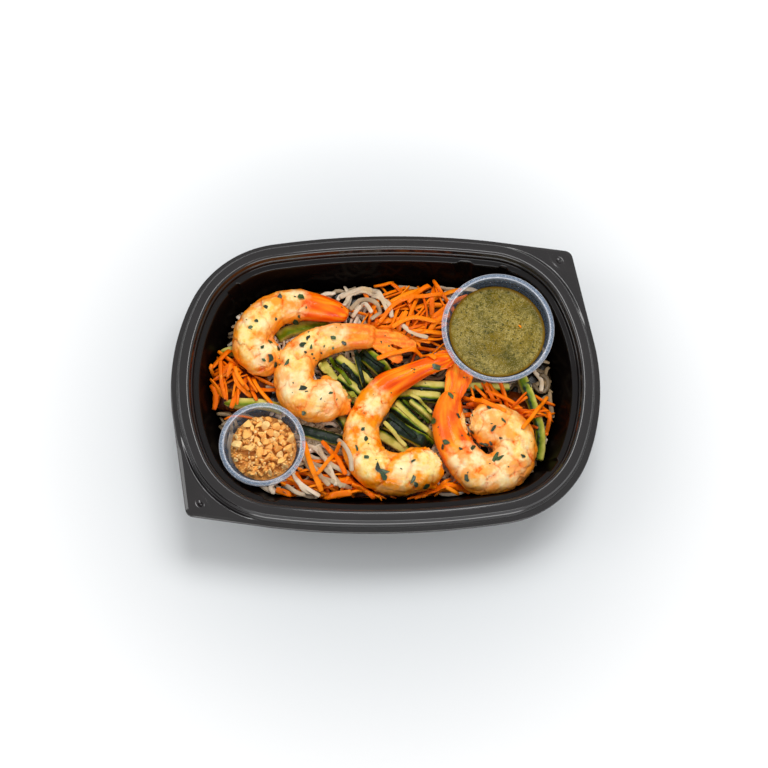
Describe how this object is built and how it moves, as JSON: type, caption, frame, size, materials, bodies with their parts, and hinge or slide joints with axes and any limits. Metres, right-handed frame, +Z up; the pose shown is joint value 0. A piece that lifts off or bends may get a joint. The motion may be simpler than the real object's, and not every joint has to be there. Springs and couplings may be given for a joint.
{
  "type": "pad thai",
  "caption": "Shrimp pad thai in a black take-away tray with zucchini sticks, carrot shreds, rice noodles, a cup of herb sauce and a cup of chopped peanuts.",
  "frame": {"origin": "centre of the tray's underside, on the surface it stands on", "axes": "+Z up, +X along the tray's length towards the sauce cup, +Y towards the back, so that the nearer long side faces -Y"},
  "size_m": [0.2412, 0.1756, 0.046],
  "materials": {
    "tray": "satin black polypropylene",
    "cup": "clear, slightly frosted",
    "sauce": "wet, mottled olive",
    "peanut": "dry, roasted",
    "shrimp": "moist, seared",
    "zucchini": "moist, pale flesh with green skin",
    "carrot": "moist orange",
    "noodle": "wet, translucent",
    "herb": "moist dark green"
  },
  "bodies": {
    "root": {"tray": "tray", "sauce_cup": "cup", "peanut_cup": "cup", "sauce": "sauce", "peanuts": "peanut", "shrimp_front": "shrimp", "shrimp_middle": "shrimp", "shrimp_left": "shrimp", "shrimp_right": "shrimp", "zucchini_under_left_shrimp": "zucchini", "zucchini_far_left": "zucchini", "zucchini_by_peanuts": "zucchini", "zucchini_centre_dark": "zucchini", "zucchini_centre_strip": "zucchini", "zucchini_centre_a": "zucchini", "zucchini_centre_b": "zucchini", "zucchini_centre_c": "zucchini", "zucchini_centre_d": "zucchini", "zucchini_long": "zucchini", "zucchini_under_long": "zucchini", "zucchini_ring_dark": "zucchini", "zucchini_ring_a": "zucchini", "zucchini_ring_b": "zucchini", "zucchini_ring_c": "zucchini", "zucchini_ring_pale": "zucchini", "zucchini_front_a": "zucchini", "zucchini_front_dark": "zucchini", "zucchini_right_curl": "zucchini", "carrots_left": "carrot", "carrots_back": "carrot", "carrots_right": "carrot", "carrots_front": "carrot", "noodles": "noodle"}
  },
  "joints": []
}
